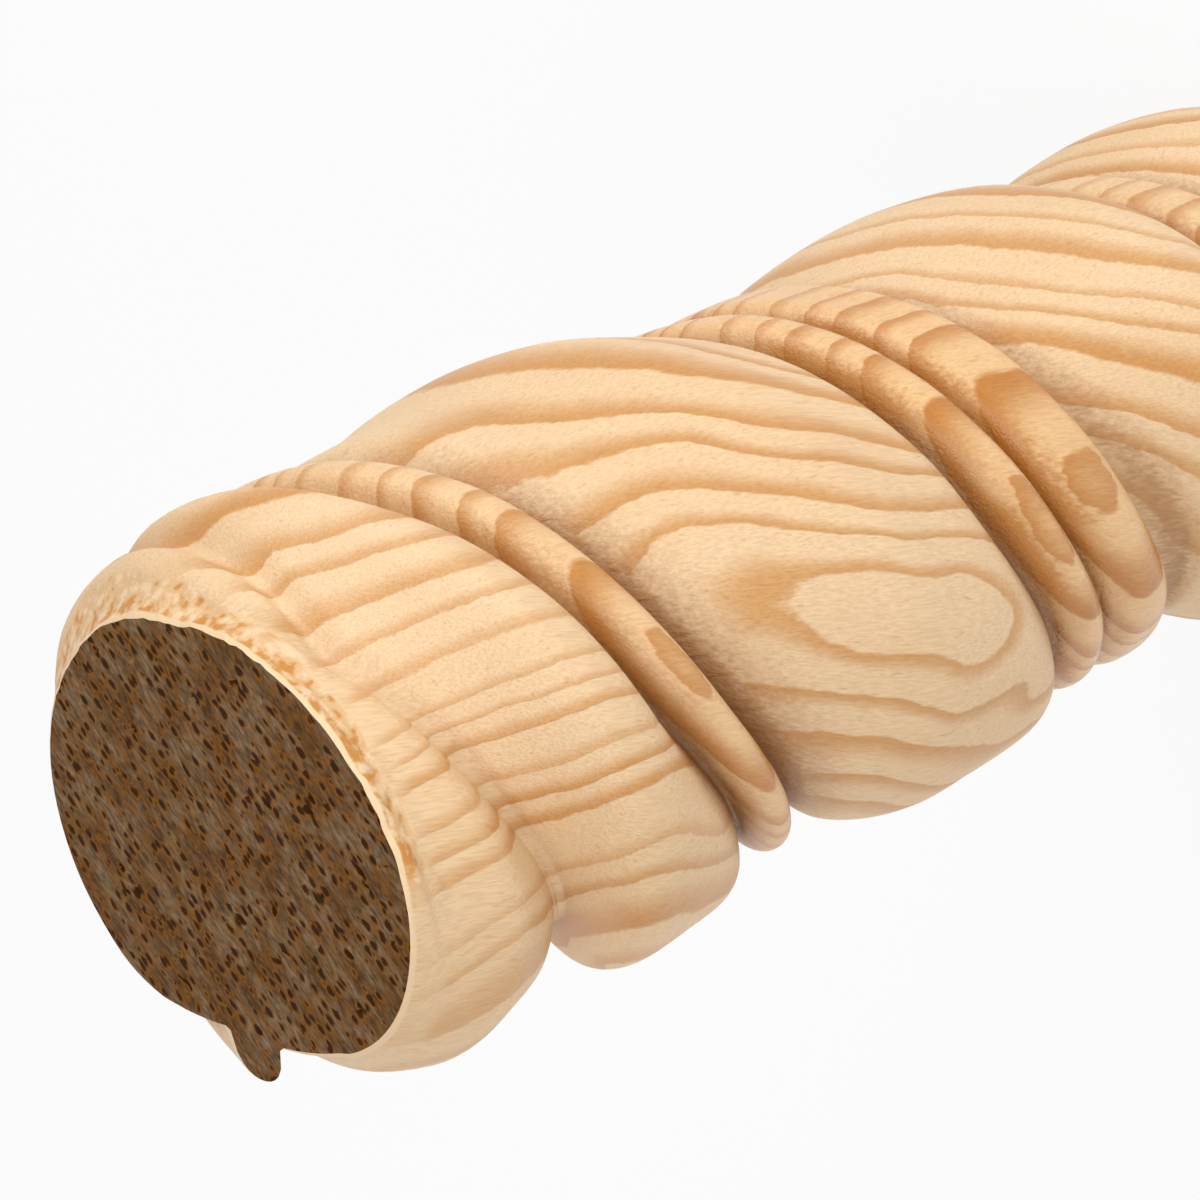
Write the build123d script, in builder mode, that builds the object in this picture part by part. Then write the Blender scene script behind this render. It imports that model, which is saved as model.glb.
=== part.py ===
# A short length of softwood rod, carved with a rope twist of two strands and sawn square at both ends
import os
from math import ceil, cos, pi, sin, tan

from build123d import *

# Driving dimensions in millimetres
ROD_LENGTH = 160
TWIST_LEAD = 71.4
STRAND_RADIUS = 28
END_STRAND_RADIUS = 25.2
BEAD_RADIUS = 25
VALLEY_RADIUS = 21.4
OPEN_GROOVE_RADIUS = 17.8
NUB_WIDTH = 2.6
SINGLE_BEAD_WIDTH = 6.2
SINGLE_BEAD_FAR_WIDTH = 10
NARROW_BEAD_WIDTH = 7.2
WIDE_BEAD_WIDTH = 10.6

# Places round the sawn end where the two carved lines start, as shares of a turn
SINGLE_START_SHARE = 0.553
DOUBLE_START_SHARE = 0.06

# Hand carving drifts from an even twist: from, to and drift, all as shares of a turn
SINGLE_DRIFT_SHARES = ((0, 0.224, 0.222), (0.56, 1.74, -0.43))
DOUBLE_DRIFT_SHARES = ((0.1, 0.36, 0.06), (0.42, 0.84, -0.06), (1.34, 2.24, -0.22))

# Twice in each turn the twist lags and catches up: how far, and a place where it is even
UNEVEN_SHARE = 0.05
UNEVEN_START_SHARE = 0.208

# Place round the rod where the crests lean furthest towards the plain end, as a share of a turn
LEAN_PLACE_SHARE = 0.88

# Stretches of the twist, as shares of a turn, over which a form goes from one shape to the next
NUB_STRETCH_SHARES = (0.05, 0.224)
WIDENING_STRETCH_SHARES = (0.72, 1.54)
OPENING_STRETCH_SHARES = (0.42, 0.84)
END_STRETCH_SHARES = (0, 0.42)
FIRST_SWELLING_SHARES = (0.16, 0.38)
SECOND_SWELLING_SHARES = (0, 0.2)

# Shapes of the strands and beads, as shares of their own spans, heights and slopes
CLOSED_BEAD_SHARE = 0.07
BEAD_INSET_SHARE = 0.08
SLOPE_SHARE = 3.2
END_SLOPE_SHARE = 0.8
FAR_SLOPE_SHARE = 1
CREST_SHARE = 0.5
FIRST_END_CREST_SHARE = 0.24
SECOND_END_CREST_SHARE = 0.36
SHOULDER_SHARE = 0.3
FAR_LEAN_SHARE = 0.2
SIDE_LEAN_SHARE = 0.14
SECTIONS_PER_TURN = 27


def eased(turn, stretch):
    """Rise smoothly from 0 to 1 along a stretch of the twist."""
    start, end = stretch
    share = min(max((turn - start) / (end - start), 0), 1)
    return share * share * (3 - 2 * share)


def between(first, second, share):
    """Value that lies a share of the way from the first to the second."""
    return first + (second - first) * share


def carved_line(turn, start_share, drift_shares):
    """Place of a carved line round the rod, in turns, at a depth in turns from the sawn end."""
    place = start_share + turn
    for start, end, drift in drift_shares:
        place += drift * eased(turn, (start, end))
    return place - UNEVEN_SHARE * (1 - cos(4 * pi * (place - UNEVEN_START_SHARE))) / 2


def single_line(turn):
    """Place of the middle of the single bead."""
    return carved_line(turn, SINGLE_START_SHARE, SINGLE_DRIFT_SHARES)


def double_line(turn):
    """Place of the cut between the two beads of the pair."""
    return carved_line(turn, DOUBLE_START_SHARE, DOUBLE_DRIFT_SHARES)


def side_lean(place):
    """Share by which a crest leans towards the plain end at a place round the rod."""
    return SIDE_LEAN_SHARE * cos(2 * pi * (place - LEAN_PLACE_SHARE))


def around(radius, place):
    """Point of a section at a radius and a place round it, clockwise seen from above."""
    return Vector(radius * cos(2 * pi * place), -radius * sin(2 * pi * place))


def heading(place):
    """Direction round the section, towards larger places."""
    return Vector(-sin(2 * pi * place), -cos(2 * pi * place))


def flank(foot_radius, foot, crest_radius, crest, slope_share):
    """Control points of one side of a strand, from the cut at its foot up to its crest."""
    angle = 2 * pi * (crest - foot)
    reach = 4 / 3 * tan(angle / 4)
    climb = slope_share * (crest_radius - foot_radius) / angle
    foot_handle = around(foot_radius + reach * climb, foot) + heading(foot) * (reach * foot_radius)
    crest_handle = around(crest_radius, crest) - heading(crest) * (reach * crest_radius)
    return [around(foot_radius, foot), foot_handle, crest_handle, around(crest_radius, crest)]


def bead(foot_radius, top_radius, start, end):
    """Control points of a bead that rises from two cuts and passes through its top radius."""
    inset = BEAD_INSET_SHARE * (end - start)
    chord_share = cos(pi * (end - start))
    crown_share = cos(pi * (end - start - 2 * inset))
    crown = (4 * top_radius - foot_radius * chord_share) / (3 * crown_share)
    feet = around(foot_radius, start), around(foot_radius, end)
    return [feet[0], around(crown, start + inset), around(crown, end - inset), feet[1]]


def section_curves(depth):
    """Curves of the rod's section at a depth below the sawn end, in order round it."""
    turn = depth / TWIST_LEAD
    settled = eased(turn, END_STRETCH_SHARES)
    opened = eased(turn, OPENING_STRETCH_SHARES)
    opening = between(CLOSED_BEAD_SHARE, 1, opened)
    widened = eased(turn, WIDENING_STRETCH_SHARES)

    single_width = between(NUB_WIDTH, SINGLE_BEAD_WIDTH, eased(turn, NUB_STRETCH_SHARES))
    single_width += (SINGLE_BEAD_FAR_WIDTH - SINGLE_BEAD_WIDTH) * widened
    half_turn = single_width / TWIST_LEAD / 2
    single_start = single_line(turn - half_turn)
    single_end = single_line(turn + half_turn)

    double_radius = between(OPEN_GROOVE_RADIUS, VALLEY_RADIUS, settled)
    double_top = between(double_radius, BEAD_RADIUS, opening * opening)
    double_start = 1 + double_line(turn - opening * WIDE_BEAD_WIDTH / TWIST_LEAD)
    double_middle = 1 + double_line(turn)
    double_end = 1 + double_line(turn + opening * NARROW_BEAD_WIDTH / TWIST_LEAD)

    first_swell = eased(turn, FIRST_SWELLING_SHARES)
    second_swell = eased(turn, SECOND_SWELLING_SHARES)
    first_slope = between(END_SLOPE_SHARE, SLOPE_SHARE, first_swell)
    second_slope = between(END_SLOPE_SHARE, SLOPE_SHARE, second_swell)
    first_near_slope = between(first_slope, FAR_SLOPE_SHARE, opened)
    second_near_slope = between(second_slope, FAR_SLOPE_SHARE, widened)
    first_radius = between(END_STRAND_RADIUS, STRAND_RADIUS, first_swell)
    second_radius = between(END_STRAND_RADIUS, STRAND_RADIUS, second_swell)
    first_share = between(FIRST_END_CREST_SHARE, CREST_SHARE, settled)
    second_share = between(SECOND_END_CREST_SHARE, CREST_SHARE, settled)
    second_share += SHOULDER_SHARE * second_swell * (1 - settled)
    first_middle = (single_end + double_start) / 2
    second_middle = (single_start + 1 + double_end) / 2
    first_share -= FAR_LEAN_SHARE * opened + side_lean(first_middle) * settled
    second_share += FAR_LEAN_SHARE * widened + side_lean(second_middle) * settled
    first_crest = between(single_end, double_start, first_share)
    second_crest = between(single_start + 1, double_end, second_share)
    return [
        bead(VALLEY_RADIUS, BEAD_RADIUS, single_start, single_end),
        flank(VALLEY_RADIUS, single_end, first_radius, first_crest, first_slope),
        flank(double_radius, double_start, first_radius, first_crest, first_near_slope)[::-1],
        bead(double_radius, double_top, double_start, double_middle),
        bead(double_radius, double_top, double_middle, double_end),
        flank(double_radius, double_end, second_radius, second_crest, second_slope),
        flank(VALLEY_RADIUS, single_start + 1, second_radius, second_crest, second_near_slope)[::-1],
    ]


# The whole rod is one piece, lofted through sections that follow the twist
section_count = ceil(SECTIONS_PER_TURN * ROD_LENGTH / TWIST_LEAD)
with BuildPart() as twisted_rod:
    for level in range(section_count + 1):
        height = ROD_LENGTH * level / section_count
        with BuildSketch(Plane.XY.offset(height)):
            with BuildLine():
                for curve in section_curves(ROD_LENGTH - height):
                    Bezier(*curve)
            make_face()
    loft()

os.makedirs("parts", exist_ok=True)
twisted_rod.part.label = "twisted_rod"
export_step(twisted_rod.part, "parts/twisted_rod.step")
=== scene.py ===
# Finish and studio of a short softwood rod, carved with a rope twist and sawn dark at its upper end
from math import atan2, cos, pi, radians, sin
from typing import NamedTuple

import bmesh
import bpy
from bpy.props import FloatProperty, FloatVectorProperty, IntProperty, PointerProperty
from bpy.types import Operator, Panel, PropertyGroup
from mathutils import Euler, Matrix, Vector, noise
from mathutils.bvhtree import BVHTree


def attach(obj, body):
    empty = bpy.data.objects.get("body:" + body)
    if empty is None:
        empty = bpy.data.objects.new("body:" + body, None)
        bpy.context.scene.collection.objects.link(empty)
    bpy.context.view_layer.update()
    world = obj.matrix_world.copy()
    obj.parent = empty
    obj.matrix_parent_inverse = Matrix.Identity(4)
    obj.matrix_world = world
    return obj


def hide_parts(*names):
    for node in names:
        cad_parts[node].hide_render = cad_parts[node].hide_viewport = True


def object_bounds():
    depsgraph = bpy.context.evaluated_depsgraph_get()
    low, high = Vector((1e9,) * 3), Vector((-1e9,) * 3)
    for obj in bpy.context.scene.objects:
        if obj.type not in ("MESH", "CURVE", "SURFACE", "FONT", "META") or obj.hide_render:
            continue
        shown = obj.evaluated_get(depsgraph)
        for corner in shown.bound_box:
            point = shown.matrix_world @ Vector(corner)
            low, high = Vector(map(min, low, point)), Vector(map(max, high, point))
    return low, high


bl_info = {
    "name": "Twisted wooden rod",
    "version": (1, 0, 0),
    "blender": (4, 5, 0),
    "location": "3D View > Sidebar > Rod",
    "description": "Finishes a carved softwood rod and sets it in a plain studio",
    "category": "Add Mesh",
}

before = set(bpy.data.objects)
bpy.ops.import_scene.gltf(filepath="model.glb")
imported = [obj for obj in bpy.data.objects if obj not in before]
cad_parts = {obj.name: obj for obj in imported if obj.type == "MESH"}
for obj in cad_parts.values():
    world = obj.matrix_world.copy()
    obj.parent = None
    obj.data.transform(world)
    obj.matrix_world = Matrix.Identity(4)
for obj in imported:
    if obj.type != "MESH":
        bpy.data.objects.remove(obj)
CAD_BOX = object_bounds()
ROD_NODE = "twisted_rod"
ROD_PIECE = "carved_rod"

ROD_HEIGHT = CAD_BOX[1].z
ROD_RADIUS = CAD_BOX[1].x


def length(name, description, default):
    """A size in metres that a user may change."""
    return FloatProperty(name=name, description=description, default=default, unit="LENGTH", precision=5)


def share(name, description, default):
    """A share of another size or strength."""
    return FloatProperty(name=name, description=description, default=default, subtype="FACTOR")


def ratio(name, description, default):
    """How many times as large one thing is as another."""
    return FloatProperty(name=name, description=description, default=default)


def colour(name, description, default):
    """A linear colour that a user may change."""
    return FloatVectorProperty(
        name=name, description=description, default=default, size=3, subtype="COLOR", min=0, max=1
    )


class RodShape(PropertyGroup):
    """Sizes of the carved surface and of the sawn end."""

    columns: IntProperty(name="Columns", description="Faces round the rod", default=224)
    rows: IntProperty(name="Rows", description="Faces along the rod", default=290)
    valley_share: share("Valley level", "Radius below which the surface lies in a valley", 0.82)
    valley_depth: length("Valley depth", "Depth of a valley below the lower rise beside it", 0.0034)
    valley_cut: share("Valley cut", "How much deeper the knife cut the valleys", 0.3)
    unevenness: length("Unevenness", "How far the knife strayed from the true form", 0.00022)
    fuzz: length("Fuzz", "Height of torn fibres in the valleys", 0.00012)
    rim_round: length("Rim round", "Round on the edge of the sawn end", 0.00028)
    torn_height: length("Torn height", "Height of the torn band under the sawn end", 0.0034)
    torn_depth: length("Torn depth", "Depth of the chips in the torn band", 0.0006)
    lip_height: length("Lip height", "Depth of the smooth lip under the sawn end", 0.0034)
    lip_rise: length("Lip rise", "How far the lip stands out", 0.0013)
    lip_groove: length("Lip groove", "Depth of the groove under the lip", 0.0010)
    face_cell: length("Face cell", "Cell of the grid on the sawn face", 0.00026)
    base_cell: length("Base cell", "Cell of the grid on the plain end", 0.0014)
    pore_width: length("Pore width", "Distance between large pores of the sawn face", 0.0017)
    pore_depth: length("Pore depth", "Depth of the deepest pores", 0.0004)


class PineFinish(PropertyGroup):
    """Colours and grain of the wood."""

    earlywood: colour("Earlywood", "Pale wood grown in spring", (0.785, 0.562, 0.338))
    latewood: colour("Latewood", "Orange lines grown in summer", (0.59, 0.29, 0.088))
    amber: colour("Amber", "Resin-rich latewood of the beads", (0.51, 0.20, 0.033))
    bead_pale: colour("Bead pale", "Paler wood of the beads", (0.78, 0.50, 0.25))
    # Valley brown is partly the dull fibres' own colour at the valleys' bottoms and partly painted shade
    # there and on the flanks beside the beads
    valley_fibre_and_shade_brown: colour("Valley brown", "Dull wood at the bottom of the carved lines", (0.33, 0.145, 0.043))
    ring_width: length("Ring width", "Thickness of a year's growth", 0.0031)
    bow_radius: length("Bow radius", "Radius of the layers' bow along the rod", 0.175)
    side_lean: share("Side lean", "How far the layers lean to the side", 0.22)
    far_share: share("Far share", "How close the lines lie towards the plain end", 0.65)
    swirl_side: length("Swirl side", "Place of the swirl across the rod", -0.0005)
    swirl_height: length("Swirl height", "Height of the swirl", 0.1044)
    swirl_reach: length("Swirl reach", "How far the swirl goes along the rod", 0.036)
    swirl_flat: length("Swirl flat", "Reach of the flat layers at the swirl's middle", 0.004)
    swirl_lean: share("Swirl lean", "Slant of the swirl's rings", 0.38)
    swirl_tightness: ratio("Swirl tightness", "How much closer its rings lie", 1.05)
    swirl_stretch: ratio("Swirl stretch", "Length of its rings over their width", 2.6)
    swirl_opening: ratio("Swirl opening", "The same towards the plain end", 4.5)
    # The sawn face's grey and brown are partly the end grain's own colour and partly painted shade
    sawn_grey: colour("Sawn grey", "Weathered grey of the sawn face", (0.178, 0.114, 0.063))
    sawn_brown: colour("Sawn brown", "Brown clouds of the sawn face", (0.097, 0.046, 0.016))
    pore_rust: colour("Pore rust", "Rusty edges of the pores", (0.225, 0.086, 0.013))
    # Painted shadow at the bottom of the pores
    pore_shadow: colour("Pore dark", "Bottom of the pores", (0.036, 0.012, 0.002))
    torn_cream: colour("Torn cream", "Fresh wood of the torn band", (0.70, 0.445, 0.225))
    torn_pale: colour("Torn pale", "Palest crumbs of the torn band", (0.80, 0.575, 0.345))
    chip_orange: colour("Chip orange", "Rusty chips of the torn band", (0.57, 0.245, 0.045))


class Studio(PropertyGroup):
    """Floor, lights and camera."""

    floor_size: length("Floor size", "Side of the floor", 6)
    floor_white: colour("Floor white", "Colour of the floor", (0.86, 0.86, 0.86))
    camera_offset: FloatVectorProperty(
        name="Camera offset", description="Camera from the middle of the sawn end",
        default=(0.06485, -0.21558, 0.1356), size=3, subtype="TRANSLATION", unit="LENGTH",
    )
    camera_turn: FloatVectorProperty(
        name="Camera turn", description="Rotation of the camera",
        default=(radians(-26.802), radians(44.921), radians(-109.633)), size=3, subtype="EULER",
    )
    camera_lens: FloatProperty(name="Camera lens", description="Focal length", default=93.24, unit="CAMERA")


# How far inside its ends the rod is felt, and how near to an end its rim lies, as shares of its height
SKIN_SHARE = 1e-4
LEVEL_SHARE = 1e-6


class Solid:
    """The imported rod, felt from outside by level rays that run in to its axis."""

    def __init__(self):
        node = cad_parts[ROD_NODE]
        self.tree = BVHTree.FromObject(node, bpy.context.evaluated_depsgraph_get())
        self.skin = ROD_HEIGHT * SKIN_SHARE

    def radius(self, place, height):
        """Radius of the rod at a place round it, in turns clockwise from above, and at a height."""
        level = min(max(height, self.skin), ROD_HEIGHT - self.skin)
        outward = around(1, place)
        start = outward * (2 * ROD_RADIUS) + Vector((0, 0, level))
        point = self.tree.ray_cast(start, -outward)[0]
        if point is None:
            raise RuntimeError(f"no surface of {ROD_NODE} at height {height}")
        return point.xy.length


def around(radius, place):
    """Level vector of a length towards a place round the rod."""
    return Vector((radius * cos(2 * pi * place), -radius * sin(2 * pi * place), 0))


def place_of(point):
    """Place of a point round the rod, in turns clockwise from above."""
    return atan2(-point.y, point.x) / (2 * pi) % 1


def eased(value, start, end):
    """Rise smoothly from 0 to 1 between two values."""
    part = min(max((value - start) / (end - start), 0), 1)
    return part * part * (3 - 2 * part)


def hump(value, middle, reach):
    """Rise smoothly from 0 to 1 at the middle and fall again."""
    return 1 - eased(abs(value - middle), 0, reach)


# Rays round the rod with which its strands are found at each row
SCAN_STEPS = 540
# Columns given to each strand and to what lies between them, as shares of the whole round
COLUMN_SHARES = (0, 0.28, 0.57, 0.85, 1)
# Which of these spans holds the pair of beads, the strand with the swirl in its grain and the single bead
PAIR_SPAN, SWIRL_SPAN, SINGLE_SPAN = 1, 2, 3


def strand_spans(solid, height, level):
    """Places where the two strands rise above the valleys at a height, as spans in turns."""
    radii = [solid.radius(step / SCAN_STEPS, height) for step in range(SCAN_STEPS)]
    first = radii.index(min(radii))
    spans = []
    start = None
    for step in range(first + 1, first + SCAN_STEPS + 1):
        before = radii[(step - 1) % SCAN_STEPS]
        here = radii[step % SCAN_STEPS]
        crossing = (step - 1 + (level - before) / (here - before)) / SCAN_STEPS if here != before else 0
        if before <= level < here:
            start = crossing
        elif here <= level < before:
            spans.append((start, crossing))
    spans.sort(key=lambda span: span[0] - span[1])
    return spans[:2]


def nearest_turn(place, target):
    """The same place round the rod, counted in the turn that comes nearest to a target."""
    return place + round(target - place)


def column_knots(solid, heights, level):
    """For each row, places of the strands' edges, so that columns of faces follow the carving."""
    first, second = sorted(strand_spans(solid, heights[-1], level))
    if first[0] + 1 - second[1] > second[0] - first[1]:
        first, second = second, (first[0] + 1, first[1] + 1)
    knots = []
    for height in reversed(heights):
        spans = strand_spans(solid, height, level)
        middle = sum(first) / 2
        spans.sort(key=lambda span: abs(nearest_turn(sum(span) / 2, middle) - middle))
        places = []
        for span, last in zip(spans, (first, second)):
            turn = nearest_turn(sum(span) / 2, sum(last) / 2) - sum(span) / 2
            places.append((span[0] + turn, span[1] + turn))
        first, second = places
        knots.append((*first, *second, first[0] + 1))
    return knots[::-1]


def column_place(knots, column_share):
    """Place of a column at the row that has these knots."""
    for start, end, low, high in zip(COLUMN_SHARES, COLUMN_SHARES[1:], knots, knots[1:]):
        if column_share <= end:
            return low + (high - low) * (column_share - start) / (end - start)
    return knots[-1]


# Rows lie closer together towards the sawn end, where the rim has fine chips
FINE_ROW_SHARE = 0.3
ROW_POWER = 1.3


def row_height(row_share):
    """Height of a row that lies a share of the rows below the sawn end."""
    fine = FINE_ROW_SHARE * row_share
    return ROD_HEIGHT * (1 - fine - (1 - FINE_ROW_SHARE) * row_share**ROW_POWER)


# Places round the sawn end between which its rim is torn and has a lip, and the run-out of both, in turns
TORN_SPAN = (-0.23, 0.31)
LIP_SPAN = (-0.23, 0.17)
RUN_OUT = 0.08
# Depth of the groove under the lip and its reach, as shares of the lip's height
GROOVE_DEPTH_SHARE = 2
GROOVE_REACH_SHARE = 0.5
# Sizes of knife marks, fibres, chips and the waves of the torn band's edge, in metres
KNIFE_MARK = 0.009
FIBRE = 0.0011
CHIP = 0.0013
LARGE_CHIP = 3 * CHIP
RAGGED_EDGE = 4 * CHIP
# How far the torn band's edge strays and where the band starts to fade, as shares of its height
RAGGED_SHARE = 0.4
TORN_FADE_SHARE = 0.7
# Usual depth of the chips and how much each size of chip changes it, as shares of the torn depth
CHIP_SHARE = 0.4
CHIP_SWING_SHARE = 0.5


def span_share(place, span):
    """How far a place round the rod lies within a span of its rim."""
    middle = sum(span) / 2
    off = abs(nearest_turn(place, middle) - middle)
    half = (span[1] - span[0]) / 2
    return 1 - eased(off, half - RUN_OUT, half)


def worn(point, place, valley, shape):
    """How far the real surface lies inside the true form at a point, and how torn it is there."""
    depth = ROD_HEIGHT - point.z
    inside = shape.unevenness * noise.noise(point / KNIFE_MARK)
    fuzz = shape.fuzz * noise.noise(point / FIBRE)
    inside += min(valley, 1) * (shape.valley_cut * shape.valley_depth + fuzz)
    if depth < shape.rim_round:
        left = 1 - depth / shape.rim_round
        inside += shape.rim_round * (1 - (1 - left * left) ** 0.5)
    lip = span_share(place, LIP_SPAN)
    inside -= shape.lip_rise * lip * hump(depth, shape.lip_height, shape.lip_height)
    groove_depth = GROOVE_DEPTH_SHARE * shape.lip_height
    inside += shape.lip_groove * lip * hump(depth, groove_depth, GROOVE_REACH_SHARE * shape.lip_height)
    torn = span_share(place, TORN_SPAN)
    edge = shape.torn_height * (1 + RAGGED_SHARE * noise.noise(point / RAGGED_EDGE))
    torn *= 1 - eased(depth, TORN_FADE_SHARE * edge, edge)
    chips = CHIP_SHARE + CHIP_SWING_SHARE * noise.noise(point / CHIP)
    chips += CHIP_SWING_SHARE * noise.noise(point / LARGE_CHIP)
    inside += shape.torn_depth * torn * chips
    return inside, torn


# Distances from the sawn end over which the growth lines draw apart, in metres
FAR_STRETCH = (0.052, 0.082)


def bowed_growth(point, finish):
    """Height of a point in growth layers that bow along the rod and lean to one side."""
    along = ROD_HEIGHT - point.z
    closeness = 1 - (1 - finish.far_share) * eased(along, *FAR_STRETCH)
    return -closeness * (point.x + finish.side_lean * point.y + along * along / (2 * finish.bow_radius))


def swirl_growth(point, finish):
    """Height of a point in growth layers that close in slanting rings round the swirl's flat middle."""
    up = point.z - finish.swirl_height
    across = point.x - finish.swirl_side - finish.swirl_lean * up
    along = up / (finish.swirl_stretch if up > 0 else finish.swirl_opening)
    return -finish.swirl_tightness * Vector((finish.swirl_flat, across, along)).length


# Columns to each side in which a valley's rises are looked for, and over which cuts, beads and the painted
# valley shade spread
VALLEY_REACH = 18
CUT_SPREAD = 1
VALLEY_SHADE_SPREAD = 6
# Rise past a low place that makes it a valley, in metres
VALLEY_STEP = 0.00006


def valley_row(radii):
    """How far each place of a row lies below the lower of the two rises beside it."""
    depths = []
    for index, radius in enumerate(radii):
        before = max(radii[(index - step) % len(radii)] for step in range(VALLEY_REACH))
        after = max(radii[(index + step) % len(radii)] for step in range(VALLEY_REACH))
        depths.append(min(before, after) - radius)
    return depths


def spread(values, reach):
    """Values of a row, each averaged with its neighbours up to a reach."""
    count = len(values)
    window = range(-reach, reach + 1)
    totals = [sum(values[(index + step) % count] for step in window) for index in range(count)]
    return [total / len(window) for total in totals]


def first_valley(radii, columns):
    """Column of the first valley met along some columns of a row."""
    lowest = columns[0]
    for column in columns:
        if radii[column] < radii[lowest]:
            lowest = column
        elif radii[column] > radii[lowest] + VALLEY_STEP:
            break
    return lowest


# Heights over which the pair of beads opens, as shares of the rod's height, and richness of the single bead
PAIR_OPENING = (0.82, 0.76)
SINGLE_RICHNESS = 0.6


def bead_row(radii, height):
    """How rich in resin each place of a row is: the beads between two valleys are, the strands aren't."""
    opened = eased(-height / ROD_HEIGHT, -PAIR_OPENING[0], -PAIR_OPENING[1])
    row = [0] * len(radii)
    for span, richness in ((PAIR_SPAN, opened), (SINGLE_SPAN, SINGLE_RICHNESS)):
        start, end = (round(edge * len(radii)) for edge in COLUMN_SHARES[span:span + 2])
        columns = range(start, end)
        for column in range(first_valley(radii, columns) + 1, first_valley(radii, columns[::-1])):
            row[column] = richness
    return row


# Values that each point of the mesh keeps for the materials
LAYERS = ("bead", "swirl", "bowed_growth", "swirl_growth", "faint", "valley", "valley_shade", "torn", "pit")
# How much shallower the open groove at the sawn end is cut and how much less painted shade it gets than the
# valleys further down, and over which heights
END_VALLEY_LOSS = 0.55
END_VALLEY_HEIGHTS = (0.75, 0.92)
# Share of the swirl's reach at which it starts to fade
SWIRL_FADE_SHARE = 0.8
# Heights over which the swirled strand's lines grow faint, how faint, and heights over which all lines do
STRIP_HEIGHTS = (0.86, 0.94)
STRIP_FAINTNESS = 0.45
LIP_HEIGHTS = (0.96, 0.985)


def carve_side(bm, solid, shape, finish):
    """A fine tube whose columns follow the twist, laid on the solid's carved surface."""
    layers = bm.verts.layers.float
    bmesh.ops.create_cone(
        bm, segments=shape.columns, radius1=ROD_RADIUS, radius2=ROD_RADIUS, depth=ROD_HEIGHT, cap_ends=False
    )
    uprights = [edge for edge in bm.edges if abs(edge.verts[0].co.z - edge.verts[1].co.z) > ROD_RADIUS]
    bmesh.ops.subdivide_edges(bm, edges=uprights, cuts=shape.rows - 1, use_grid_fill=True)
    heights = [row_height(row / shape.rows) for row in range(shape.rows + 1)]
    knots = column_knots(solid, heights, shape.valley_share * ROD_RADIUS)
    shares = [column / shape.columns for column in range(shape.columns)]
    places = [[column_place(row_knots, column_share) for column_share in shares] for row_knots in knots]
    radii = [[solid.radius(place, height) for place in row] for row, height in zip(places, heights)]
    valleys = [valley_row(row) for row in radii]
    cuts = [spread(row, CUT_SPREAD) for row in valleys]
    valley_shades = [spread(row, VALLEY_SHADE_SPREAD) for row in valleys]
    beads = [spread(bead_row(row, height), CUT_SPREAD) for row, height in zip(radii, heights)]
    for vert in bm.verts:
        row = round((0.5 - vert.co.z / ROD_HEIGHT) * shape.rows)
        column = round(place_of(vert.co) * shape.columns) % shape.columns
        place = places[row][column]
        point = around(radii[row][column], place) + Vector((0, 0, heights[row]))
        keep = 1 - END_VALLEY_LOSS * eased(heights[row] / ROD_HEIGHT, *END_VALLEY_HEIGHTS)
        valley = keep * cuts[row][column] / shape.valley_depth
        inside, torn = worn(point, place, valley, shape)
        vert.co = point - around(inside, place)
        vert[layers["torn"]] = torn
        vert[layers["valley"]] = valley
        # Painted shade that spreads from each valley over the flanks beside it
        vert[layers["valley_shade"]] = keep * valley_shades[row][column] / shape.valley_depth
        vert[layers["bead"]] = beads[row][column]
        swirled = sum(shares[column] > edge for edge in COLUMN_SHARES[1:]) == SWIRL_SPAN
        off = abs(point.z - finish.swirl_height)
        swirl = 1 - eased(off, SWIRL_FADE_SHARE * finish.swirl_reach, finish.swirl_reach)
        vert[layers["swirl"]] = swirled * swirl
        strip = swirled * STRIP_FAINTNESS * eased(point.z / ROD_HEIGHT, *STRIP_HEIGHTS)
        vert[layers["faint"]] = max(strip, eased(point.z / ROD_HEIGHT, *LIP_HEIGHTS))
        vert[layers["bowed_growth"]] = bowed_growth(point, finish)
        vert[layers["swirl_growth"]] = swirl_growth(point, finish)


def rim_of(bm, height):
    """Open edges at one end of the tube."""
    near = ROD_HEIGHT * LEVEL_SHARE
    return [
        edge for edge in bm.edges
        if edge.is_boundary and all(abs(vert.co.z - height) < near for vert in edge.verts)
    ]


def close_end(bm, solid, height, cell, hem_width):
    """Fill an open end with an even grid, joined to its rim by a strip of triangles."""
    rim = rim_of(bm, height)
    count = int(2 * ROD_RADIUS / cell)
    grid = bmesh.ops.create_grid(
        bm, x_segments=count, y_segments=count, size=ROD_RADIUS, matrix=Matrix.Translation((0, 0, height))
    )["verts"]
    outside = [
        vert for vert in grid
        if vert.co.xy.length > solid.radius(place_of(vert.co), height) - hem_width
    ]
    bmesh.ops.delete(bm, geom=outside, context="VERTS")
    kept = [vert for vert in grid if vert.is_valid]
    loose = [vert for vert in kept if not vert.link_faces]
    bmesh.ops.delete(bm, geom=loose, context="VERTS")
    kept = [vert for vert in kept if vert.is_valid]
    wires = dict.fromkeys(edge for vert in kept for edge in vert.link_edges if not edge.link_faces)
    bmesh.ops.delete(bm, geom=list(wires), context="EDGES")
    hem = dict.fromkeys(edge for vert in kept for edge in vert.link_edges if edge.is_boundary)
    strip = bmesh.ops.triangle_fill(bm, edges=rim + list(hem), use_beauty=True)["geom"]
    faces = {face for vert in kept for face in vert.link_faces}
    faces.update(item for item in strip if isinstance(item, bmesh.types.BMFace))
    return kept, faces


# Pores of the sawn face are drawn out along one slanting way
PORE_TURN = radians(-33)
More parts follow.
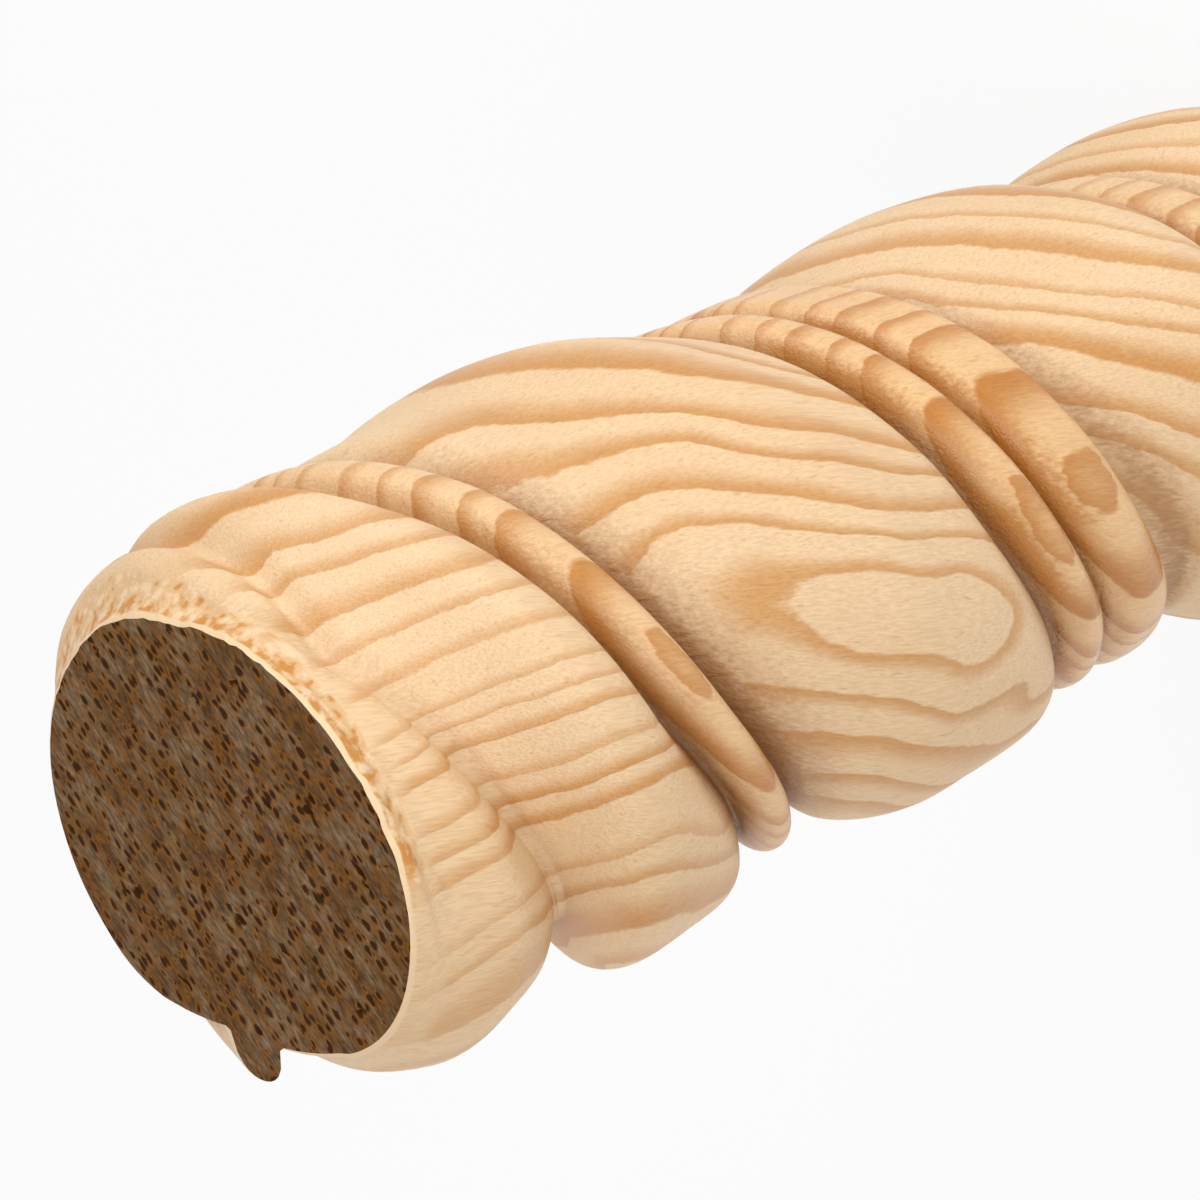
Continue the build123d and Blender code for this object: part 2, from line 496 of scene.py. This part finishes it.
# Large pores: how far they are drawn out, their size, the spread of sizes, and the flat share of their floor
PIT_STRETCH_SHARE = 0.55
PIT_SHARE = 0.22
PIT_SPREAD_SHARE = 1.2
PIT_FLOOR_SHARE = 0.3
# Factor that scatters the sizes of neighbouring pores
PIT_SCATTER = 7.3


def sink_pores(bm, verts, shape):
    """Sink small drawn-out pores into the sawn face."""
    pit = bm.verts.layers.float["pit"]
    turn = Matrix.Rotation(PORE_TURN, 3, "Z")
    for vert in verts:
        spot = turn @ vert.co / shape.pore_width
        spot.x *= PIT_STRETCH_SHARE
        spot.z = 0
        distances, centres = noise.voronoi(spot)
        size = PIT_SHARE * (1 + PIT_SPREAD_SHARE * noise.noise(centres[0] * PIT_SCATTER))
        depth = 1 - eased(distances[0], PIT_FLOOR_SHARE * size, size)
        vert[pit] = depth
        vert.co.z -= shape.pore_depth * depth


def new_piece(bm, name, materials):
    """Turn a bmesh into a piece of the scene, with its materials."""
    mesh = bpy.data.meshes.new(name)
    bm.to_mesh(mesh)
    bm.free()
    for material in materials:
        mesh.materials.append(material)
    piece = bpy.data.objects.new(name, mesh)
    bpy.context.scene.collection.objects.link(piece)
    return piece


def put(tree, kind, inputs=None, **settings):
    """Add a shader node with its settings, and set or link its inputs."""
    node = tree.nodes.new("ShaderNode" + kind)
    for name, value in settings.items():
        setattr(node, name, value)
    for socket, value in (inputs or {}).items():
        if isinstance(value, bpy.types.NodeSocket):
            tree.links.new(value, node.inputs[socket])
        else:
            node.inputs[socket].default_value = value
    return node


def sums(tree, operation, *values):
    """Result of a Math node."""
    return put(tree, "Math", dict(enumerate(values)), operation=operation).outputs[0]


def centred(tree, value):
    """Noise from 0 to 1, moved to swing round 0."""
    return sums(tree, "SUBTRACT", value, 0.5)


def between(tree, part, first, second):
    """Number that lies a part of the way from the first to the second."""
    return sums(tree, "MULTIPLY_ADD", sums(tree, "SUBTRACT", second, first), part, first)


def ranged(tree, value, start, end, low=0.0, high=1.0):
    """Value carried smoothly from one range to another."""
    inputs = {"Value": value, "From Min": start, "From Max": end, "To Min": low, "To Max": high}
    return put(tree, "MapRange", inputs, interpolation_type="SMOOTHSTEP").outputs[0]


def mixed(tree, factor, first, second, blend="MIX"):
    """Colour mixed from two, which may be plain colours or sockets."""
    colours = [value if isinstance(value, bpy.types.NodeSocket) else (*value, 1) for value in (first, second)]
    inputs = {0: factor, 6: colours[0], 7: colours[1]}
    return put(tree, "Mix", inputs, data_type="RGBA", blend_type=blend).outputs[2]


def tinted(tree, base, factor, tints):
    """Colour multiplied by a tint that goes from the first of two to the second."""
    return mixed(tree, 1.0, base, mixed(tree, factor, *tints), "MULTIPLY")


class Pattern(NamedTuple):
    """Soft noise: its grains to a metre, what its three axes are multiplied by, and its finer layers."""

    grains: float
    axes: tuple = (1, 1, 1)
    detail: float = 2.0


def speckle(tree, coords, pattern):
    """Soft noise from 0 to 1 in a pattern."""
    mapped = put(tree, "Mapping", {"Vector": coords, "Scale": pattern.axes}).outputs[0]
    inputs = {"Vector": mapped, "Scale": pattern.grains, "Detail": pattern.detail}
    return put(tree, "TexNoise", inputs, noise_dimensions="3D").outputs[0]


def attribute(tree, name):
    """A value kept on the mesh."""
    return put(tree, "Attribute", attribute_name=name).outputs["Fac"]


# Height of the fine relief of the wood, in metres
RELIEF_HEIGHT = 0.0003


def new_material(name, base):
    """Material with an empty shader tree, and its main shader."""
    material = bpy.data.materials.new(name)
    material.use_nodes = True
    material.diffuse_color = (*base, 1)
    tree = material.node_tree
    return material, tree, tree.nodes["Principled BSDF"]


def add_relief(tree, shader, relief, strength):
    """Give a shader fine relief."""
    bump = put(tree, "Bump", {"Height": relief, "Strength": strength, "Distance": RELIEF_HEIGHT})
    tree.links.new(bump.outputs[0], shader.inputs["Normal"])


# Waves of the growth lines, and how far the finer ones sway, in metres
BROAD_WAVES = Pattern(38, (1, 1, 0.8), 1.0)
MIDDLING_WAVES = Pattern(190, (1, 1, 0.5))
FINE_WAVES = Pattern(1500, (1, 1, 0.15))
MIDDLING_SWAY = 0.0011
FINE_SWAY = 0.0004
# How soon fat years follow thin ones, and by how many years that shifts a line
FAT_YEAR_SCALE = 0.45
FAT_YEAR_SHIFT = 1.3
# Part of the year at which summer wood sets in, in a weak and in a strong year, and at which it ends
WEAK_SUMMER_START = 0.55
STRONG_SUMMER_START = 0.2
SUMMER_END = 0.93


def swayed(tree, coords, growth, pattern, sway):
    """Growth moved to and fro by the waves of a pattern."""
    return sums(tree, "MULTIPLY_ADD", centred(tree, speckle(tree, coords, pattern)), sway, growth)


def summer_wood(tree, coords, growth, ring_width, waviness, faintest):
    """How much summer wood shows: it darkens slowly through a year and ends sharply."""
    waved = swayed(tree, coords, growth, BROAD_WAVES, waviness)
    waved = swayed(tree, coords, waved, MIDDLING_WAVES, MIDDLING_SWAY)
    waved = swayed(tree, coords, waved, FINE_WAVES, FINE_SWAY)
    years = sums(tree, "DIVIDE", waved, ring_width)
    inputs = {"W": years, "Scale": FAT_YEAR_SCALE, "Detail": 0.0}
    fat = put(tree, "TexNoise", inputs, noise_dimensions="1D").outputs[0]
    years = sums(tree, "MULTIPLY_ADD", centred(tree, fat), FAT_YEAR_SHIFT, years)
    season = sums(tree, "FRACT", years)
    year = sums(tree, "FLOOR", years)
    strength = put(tree, "TexWhiteNoise", {"W": year}, noise_dimensions="1D").outputs["Value"]
    start = ranged(tree, strength, 0.0, 1.0, WEAK_SUMMER_START, STRONG_SUMMER_START)
    rise = ranged(tree, season, start, SUMMER_END)
    fall = ranged(tree, season, SUMMER_END, 1.0, 1.0, 0.0)
    summer = sums(tree, "MULTIPLY", rise, fall)
    return sums(tree, "MULTIPLY", summer, ranged(tree, strength, 0.0, 1.0, faintest, 1.0))


# Waviness of the strands', the swirl's and the beads' lines, in metres, and strength of their faintest years
BOWED_WAVINESS = 0.008
SWIRL_WAVINESS = 0.012
BEAD_WAVINESS = 0.003
FAINTEST_YEAR = 0.6
FAINTEST_SWIRL_YEAR = 0.85
# Place of the beads' first layer, in rings, and the richness in resin over which their lines set in
BEAD_FIRST_RING = 0.45
BEAD_EDGE = (0.1, 0.5)
# Share of summer wood that still shows where the lines are faintest
LEAST_SUMMER = 0.25


def growth_lines(tree, coords, across, bead, finish):
    """Summer wood of the strands and of the swirl, and of the beads, whose layers lie across the rod."""
    width = finish.ring_width
    bowed = attribute(tree, "bowed_growth")
    bowed_summer = summer_wood(tree, coords, bowed, width, BOWED_WAVINESS, FAINTEST_YEAR)
    swirled = attribute(tree, "swirl_growth")
    swirl_summer = summer_wood(tree, coords, swirled, width, SWIRL_WAVINESS, FAINTEST_SWIRL_YEAR)
    summer = between(tree, attribute(tree, "swirl"), bowed_summer, swirl_summer)
    sideways = sums(tree, "SUBTRACT", across, BEAD_FIRST_RING * width)
    bead_summer = summer_wood(tree, coords, sideways, width, BEAD_WAVINESS, FAINTEST_YEAR)
    summer = between(tree, ranged(tree, bead, *BEAD_EDGE), summer, bead_summer)
    showing = ranged(tree, attribute(tree, "faint"), 0.0, 1.0, 1.0, LEAST_SUMMER)
    return sums(tree, "MULTIPLY", summer, showing)


# Noise values between which soft clouds and streaks change from one tint to the other
SOFT_RANGE = (0.3, 0.7)
# Clouds, fibres and flecks of the wood, with their tints
WOOD_CLOUDS = Pattern(60, (1, 1, 0.4), 1.0)
CLOUD_TINTS = ((0.96, 0.93, 0.89), (1.0, 1.0, 1.0))
FIBRES = Pattern(4600, (1, 1, 0.1))
FIBRE_TINTS = ((0.92, 0.89, 0.85), (1.03, 1.03, 1.03))
FLECKS = Pattern(2600, (1, 1, 0.12), 1.0)
FLECK_RANGE = (0.66, 0.73)
FLECK_STRENGTH = 0.28


def fibred_wood(tree, coords, fibre, summer, bead, finish):
    """Pale and summer wood with soft clouds, fine streaks and amber flecks."""
    pale = mixed(tree, bead, finish.earlywood, finish.bead_pale)
    dark = mixed(tree, bead, finish.latewood, finish.amber)
    wood = mixed(tree, summer, pale, dark)
    cloud = ranged(tree, speckle(tree, coords, WOOD_CLOUDS), *SOFT_RANGE)
    wood = tinted(tree, wood, cloud, CLOUD_TINTS)
    wood = tinted(tree, wood, ranged(tree, fibre, *SOFT_RANGE), FIBRE_TINTS)
    fleck = ranged(tree, speckle(tree, coords, FLECKS), *FLECK_RANGE)
    return mixed(tree, sums(tree, "MULTIPLY", fleck, FLECK_STRENGTH), wood, finish.amber)


# Fluff of the carved lines, and how far it moves the edges of what lies in them
FLUFF = Pattern(2300, (1, 1, 0.25), 3.0)
FLUFF_SHIFT = 0.5
# Shares of the valley depth over which resin, the painted valley shade and the bare cut, brown with dull
# fibres and painted shade, set in
RESIN_DEPTHS = (0.0, 0.35)
VALLEY_SHADE_DEPTHS = (0.02, 0.7)
CUT_DEPTHS = (0.35, 0.95)
# Patches of resin on the beads, and strengths of resin, of the painted valley shade on strands and beads, and
# of the bare cut's fibre brown and painted shade
RESIN_PATCHES = Pattern(75, detail=1.0)
RESIN_RANGE = (0.42, 0.58)
RESIN_STRENGTHS = (0.1, 0.85)
VALLEY_SHADE_STRENGTHS = (0.72, 0.3)
CUT_FIBRE_AND_SHADE_STRENGTH = 0.85


def shade_valleys(tree, coords, wood, bead, finish):
    """Wood with resin in the carved lines, painted shade on their flanks, dull fibre brown with painted shade
    at their bottoms, and the fluff that stands in them.
    """
    fluff = speckle(tree, coords, FLUFF)
    stray = sums(tree, "MULTIPLY", centred(tree, fluff), FLUFF_SHIFT)
    cut = sums(tree, "ADD", stray, attribute(tree, "valley"))
    resin = sums(tree, "MULTIPLY", ranged(tree, cut, *RESIN_DEPTHS), bead)
    patches = ranged(tree, speckle(tree, coords, RESIN_PATCHES), *RESIN_RANGE, *RESIN_STRENGTHS)
    wood = mixed(tree, sums(tree, "MULTIPLY", resin, patches), wood, finish.amber)
    # Painted shade on the valleys' flanks, weaker on the beads
    valley_shade = ranged(tree, sums(tree, "ADD", stray, attribute(tree, "valley_shade")), *VALLEY_SHADE_DEPTHS)
    valley_shade = sums(tree, "MULTIPLY", valley_shade, ranged(tree, bead, 0.0, 1.0, *VALLEY_SHADE_STRENGTHS))
    wood = mixed(tree, valley_shade, wood, finish.valley_fibre_and_shade_brown)
    # The valleys' bottoms get the fibres' dull brown and painted shade
    valley = ranged(tree, cut, *CUT_DEPTHS)
    wood = mixed(tree, sums(tree, "MULTIPLY", valley, CUT_FIBRE_AND_SHADE_STRENGTH), wood, finish.valley_fibre_and_shade_brown)
    return wood, sums(tree, "MULTIPLY", fluff, valley)


# Crumbs of the torn rim, and the values over which creamy crumbs, rusty chips and the band itself set in
CRUMBS = Pattern(800, detail=4.0)
CREAM_RANGE = (0.36, 0.5)
CHIP_RANGE = (0.52, 0.67)
TORN_RANGE = (0.1, 0.6)
# How much rustier than its crumbs the band is, at its foot and at the sawn edge
RUST_SHIFTS = (-0.05, 0.09)
# Depth at which the pale line along the sawn edge starts, as a share of the edge's round
PALE_EDGE_SHARE = 2


def torn_rim(tree, coords, depth, wood, finish, shape):
    """Wood with a pale, crumbly band under the sawn end, flecked with rusty chips, and the band's crumbs."""
    torn = attribute(tree, "torn")
    crumb = speckle(tree, coords, CRUMBS)
    fresh = mixed(tree, ranged(tree, crumb, *CREAM_RANGE), finish.torn_pale, finish.torn_cream)
    rusty = sums(tree, "ADD", crumb, ranged(tree, depth, shape.torn_height, 0.0, *RUST_SHIFTS))
    fresh = mixed(tree, ranged(tree, rusty, *CHIP_RANGE), fresh, finish.chip_orange)
    wood = mixed(tree, ranged(tree, torn, *TORN_RANGE), wood, fresh)
    pale_edge = ranged(tree, depth, PALE_EDGE_SHARE * shape.rim_round, shape.rim_round)
    wood = mixed(tree, pale_edge, wood, finish.torn_pale)
    return wood, sums(tree, "MULTIPLY", crumb, torn)


# Turn of the fibres away from the rod's axis
FIBRE_TURN = radians(-14.5)
# Roughness of pale and of summer wood, how much smoother the beads are, and how strongly the pine reflects
PINE_ROUGHNESS = (0.52, 0.40)
BEAD_POLISH = 0.18
PINE_REFLECTION = 0.4
# Parts of fibres, summer wood, crumbs and fluff in the fine relief, and its strength
FIBRE_RELIEF = 0.6
SUMMER_RELIEF = 0.5
CRUMB_RELIEF = -1.5
FLUFF_RELIEF = 1.2
PINE_RELIEF = 0.45


def pine_material(finish, shape):
    """Carved pine: bowed growth layers with drawn-out fibres, dull valleys darkened with painted shade, and a
    torn rim.
    """
    material, tree, shader = new_material("pine", finish.earlywood)
    straight = put(tree, "TexCoord").outputs["Object"]
    spot = put(tree, "SeparateXYZ", {0: straight}).outputs
    coords = put(tree, "Mapping", {"Vector": straight, "Rotation": (0, FIBRE_TURN, 0)}).outputs[0]
    bead = attribute(tree, "bead")
    fibre = speckle(tree, coords, FIBRES)
    summer = growth_lines(tree, coords, spot["Y"], bead, finish)
    wood = fibred_wood(tree, coords, fibre, summer, bead, finish)
    wood, fluff = shade_valleys(tree, coords, wood, bead, finish)
    depth = sums(tree, "SUBTRACT", ROD_HEIGHT, spot["Z"])
    wood, crumbs = torn_rim(tree, coords, depth, wood, finish, shape)
    tree.links.new(wood, shader.inputs["Base Color"])
    rough = ranged(tree, summer, 0.0, 1.0, *PINE_ROUGHNESS)
    rough = sums(tree, "MULTIPLY_ADD", bead, -BEAD_POLISH, rough)
    tree.links.new(rough, shader.inputs["Roughness"])
    shader.inputs["Specular IOR Level"].default_value = PINE_REFLECTION
    relief = sums(tree, "MULTIPLY_ADD", fibre, FIBRE_RELIEF, sums(tree, "MULTIPLY", summer, SUMMER_RELIEF))
    relief = sums(tree, "MULTIPLY_ADD", crumbs, CRUMB_RELIEF, relief)
    relief = sums(tree, "MULTIPLY_ADD", fluff, FLUFF_RELIEF, relief)
    add_relief(tree, shader, relief, PINE_RELIEF)
    return material


# Small pores: how many to a metre, how far they are drawn out, and the sizes that their chances give them
PORE_GRAINS = 1150.0
PORE_AXES = (0.58, 1, 1)
PORE_CHANCES = (0.1, 1.0)
PORE_SIZES = (-0.08, 0.48)
# Ragged rims of the pores, how far they stray, and how much a large pore widens the small ones in it
PORE_RIMS = Pattern(1700, (0.6, 1, 1), 3.0)
PORE_RAGGEDNESS = 0.8
PIT_WIDENING = 0.6


def pore_gap(tree, coords):
    """How far a spot of the sawn face lies outside the ragged rim of its pore."""
    cells = put(tree, "Mapping", {"Vector": coords, "Scale": PORE_AXES}).outputs[0]
    pores = put(tree, "TexVoronoi", {"Vector": cells, "Scale": PORE_GRAINS}, voronoi_dimensions="2D").outputs
    chance = put(tree, "SeparateColor", {0: pores["Color"]}).outputs[0]
    size = ranged(tree, chance, *PORE_CHANCES, *PORE_SIZES)
    ragged = centred(tree, speckle(tree, coords, PORE_RIMS))
    distance = sums(tree, "MULTIPLY_ADD", ragged, PORE_RAGGEDNESS, pores["Distance"])
    widened = sums(tree, "MULTIPLY", attribute(tree, "pit"), PIT_WIDENING)
    return sums(tree, "SUBTRACT", sums(tree, "SUBTRACT", distance, size), widened)


# Clouds, hairs and rusty stains of the sawn face
FACE_CLOUDS = Pattern(420, (0.5, 1, 1), 4.0)
FACE_CLOUD_RANGE = (0.36, 0.64)
FACE_HAIRS = Pattern(2300, (0.4, 1, 1), 4.0)
HAIR_TINTS = ((0.58, 0.55, 0.5), (1.5, 1.5, 1.5))
STAINS = Pattern(850, (0.5, 1, 1), 3.0)
STAIN_RANGE = (0.48, 0.62)
STAIN_STRENGTHS = (0.0, 0.4)
# Distances from a pore's rim over which rust and the hole's painted shadow set in, and strengths of rust on
# grey and brown
RUST_GAPS = (0.26, 0.02)
HOLE_GAPS = (0.06, -0.22)
RUST_STRENGTHS = (0.6, 1.0)
# Gloss of the sawn face, part of the hairs in its fine relief, and the relief's strength
FACE_ROUGHNESS = 0.8
FACE_REFLECTION = 0.06
HAIR_RELIEF = 0.6
FACE_RELIEF = 0.6


def sawn_material(finish):
    """Grey-brown end grain, partly its own colour and partly painted shade, with rusty open pores drawn out
    one way, their holes painted dark as shadow.
    """
    material, tree, shader = new_material("sawn_end_grain", finish.sawn_grey)
    straight = put(tree, "TexCoord").outputs["Object"]
    coords = put(tree, "Mapping", {"Vector": straight, "Rotation": (0, 0, PORE_TURN)}).outputs[0]
    cloud = ranged(tree, speckle(tree, coords, FACE_CLOUDS), *FACE_CLOUD_RANGE)
    # End grain's own grey and brown, made darker with painted shade
    face = mixed(tree, cloud, finish.sawn_grey, finish.sawn_brown)
    hair = speckle(tree, coords, FACE_HAIRS)
    face = tinted(tree, face, ranged(tree, hair, *SOFT_RANGE), HAIR_TINTS)
    stain = ranged(tree, speckle(tree, coords, STAINS), *STAIN_RANGE, *STAIN_STRENGTHS)
    face = mixed(tree, stain, face, finish.pore_rust)
    gap = pore_gap(tree, coords)
    rust = ranged(tree, cloud, 0.0, 1.0, *RUST_STRENGTHS)
    rust = sums(tree, "MULTIPLY", ranged(tree, gap, *RUST_GAPS), rust)
    face = mixed(tree, rust, face, finish.pore_rust)
    # Painted shadow in the pores' holes
    hole = ranged(tree, gap, *HOLE_GAPS)
    face = mixed(tree, hole, face, finish.pore_shadow)
    tree.links.new(face, shader.inputs["Base Color"])
    shader.inputs["Roughness"].default_value = FACE_ROUGHNESS
    shader.inputs["Specular IOR Level"].default_value = FACE_REFLECTION
    relief = sums(tree, "MULTIPLY_ADD", hole, -1.0, sums(tree, "MULTIPLY", hair, HAIR_RELIEF))
    add_relief(tree, shader, relief, FACE_RELIEF)
    return material


# Shares of the torn depth and of the valley cut that the strip round the sawn face leaves room for
HEM_TORN_SHARE = 1.5
HEM_VALLEY_SHARE = 0.5


class ROD_OT_carved_rod(Operator):
    """Build the carved rod with its pine finish and its dark sawn end"""

    bl_idname = "rod.carved_rod"
    bl_label = "Carved rod"

    def execute(self, context):
        shape = context.scene.rod_shape
        finish = context.scene.pine_finish
        solid = Solid()
        bm = bmesh.new()
        for name in LAYERS:
            bm.verts.layers.float.new(name)
        carve_side(bm, solid, shape, finish)
        close_end(bm, solid, 0, shape.base_cell, shape.base_cell)
        hem_width = shape.face_cell + shape.rim_round + HEM_TORN_SHARE * shape.torn_depth
        hem_width += HEM_VALLEY_SHARE * shape.valley_cut * shape.valley_depth
        face_verts, face = close_end(bm, solid, ROD_HEIGHT, shape.face_cell, hem_width)
        sink_pores(bm, face_verts, shape)
        for item in face:
            item.material_index = 1
        bmesh.ops.recalc_face_normals(bm, faces=bm.faces)
        for item in bm.faces:
            item.smooth = True
        for edge in bm.edges:
            edge.smooth = len({part.material_index for part in edge.link_faces}) == 1
        piece = new_piece(bm, ROD_PIECE, [pine_material(finish, shape), sawn_material(finish)])
        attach(piece, "root")
        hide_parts(ROD_NODE)
        return {"FINISHED"}


# Roughness of the floor, how much of its white is its own, and the light of the air round the rod
FLOOR_ROUGHNESS = 0.9
FLOOR_GLOW = 0.88
AIR_LIGHT = 0.32
# Soft lamps: name, place, side of the square and power, in metres and watts
LAMPS = (
    ("key", (0.8, -0.3, 0.42), 0.8, 6.9),
    ("front", (-0.3, -0.65, 0.8), 0.9, 5.6),
    ("back", (-0.5, 0.8, 0.6), 0.8, 1.5),
)
# Distance from the camera at which it starts to see, in metres
CLIP_START = 0.01


def looked_at(tree):
    """1 for what is seen directly or in a reflection, and 0 for what only lights the rod."""
    paths = put(tree, "LightPath").outputs
    return sums(tree, "MAXIMUM", paths["Is Camera Ray"], paths["Is Glossy Ray"])


def floor_material(studio):
    """White floor that keeps the rod's shadow."""
    material, tree, shader = new_material("floor_white", studio.floor_white)
    shader.inputs["Base Color"].default_value = (*studio.floor_white, 1)
    shader.inputs["Roughness"].default_value = FLOOR_ROUGHNESS
    glow = put(tree, "Emission", {"Color": (1, 1, 1, 1), "Strength": 1.0}).outputs[0]
    factor = sums(tree, "MULTIPLY", looked_at(tree), FLOOR_GLOW)
    mix = put(tree, "MixShader", {0: factor, 1: shader.outputs[0], 2: glow})
    tree.links.new(mix.outputs[0], tree.nodes["Material Output"].inputs[0])
    return material


def studio_air():
    """White air that gives the rod only a soft light."""
    world = bpy.data.worlds.new("studio_air")
    world.use_nodes = True
    tree = world.node_tree
    air = tree.nodes["Background"]
    air.inputs["Color"].default_value = (1, 1, 1, 1)
    tree.links.new(ranged(tree, looked_at(tree), 0.0, 1.0, AIR_LIGHT, 1.0), air.inputs["Strength"])
    return world


def area_light(name, place, aim, side, watts):
    """Square soft lamp that looks at a point."""
    lamp = bpy.data.lights.new(name, "AREA")
    lamp.shape = "SQUARE"
    lamp.size = side
    lamp.energy = watts
    holder = bpy.data.objects.new(name, lamp)
    holder.location = place
    holder.rotation_euler = (Vector(aim) - Vector(place)).to_track_quat("-Z", "Y").to_euler()
    bpy.context.scene.collection.objects.link(holder)


class ROD_OT_studio(Operator):
    """Set the floor, the soft lights and the camera"""

    bl_idname = "rod.studio"
    bl_label = "Studio"

    def execute(self, context):
        studio = context.scene.studio
        bm = bmesh.new()
        bmesh.ops.create_grid(bm, x_segments=1, y_segments=1, size=studio.floor_size / 2)
        floor = new_piece(bm, "floor", [floor_material(studio)])

        for name, place, side, watts in LAMPS:
            area_light(name, place, (0, 0, ROD_HEIGHT / 2), side, watts)
        context.scene.world = studio_air()
        context.scene.view_settings.view_transform = "Standard"

        camera = bpy.data.objects.new("camera", bpy.data.cameras.new("camera"))
        camera.data.lens = studio.camera_lens
        camera.data.clip_start = CLIP_START
        camera.location = Vector((0, 0, ROD_HEIGHT)) + Vector(studio.camera_offset)
        camera.rotation_euler = Euler(studio.camera_turn)
        context.scene.collection.objects.link(camera)
        context.scene.camera = camera
        return {"FINISHED"}


class ROD_PT_sidebar(Panel):
    """Sidebar that lists what can be built"""

    bl_label = "Twisted wooden rod"
    bl_idname = "ROD_PT_sidebar"
    bl_space_type = "VIEW_3D"
    bl_region_type = "UI"
    bl_category = "Rod"

    def draw(self, context):
        for operator in (ROD_OT_carved_rod, ROD_OT_studio):
            self.layout.operator(operator.bl_idname)
        for group in (context.scene.rod_shape, context.scene.pine_finish, context.scene.studio):
            for name in group.__annotations__:
                self.layout.prop(group, name)


CLASSES = (RodShape, PineFinish, Studio, ROD_OT_carved_rod, ROD_OT_studio, ROD_PT_sidebar)


def register():
    """Register the classes and their settings."""
    for item in CLASSES:
        bpy.utils.register_class(item)
    bpy.types.Scene.rod_shape = PointerProperty(type=RodShape)
    bpy.types.Scene.pine_finish = PointerProperty(type=PineFinish)
    bpy.types.Scene.studio = PointerProperty(type=Studio)


def unregister():
    """Take the classes and their settings away again."""
    del bpy.types.Scene.studio
    del bpy.types.Scene.pine_finish
    del bpy.types.Scene.rod_shape
    for item in reversed(CLASSES):
        bpy.utils.unregister_class(item)


def main():
    """Build the rod and its studio."""
    register()
    bpy.ops.rod.carved_rod()
    bpy.ops.rod.studio()
    bpy.context.view_layer.update()


if __name__ == "__main__":
    main()
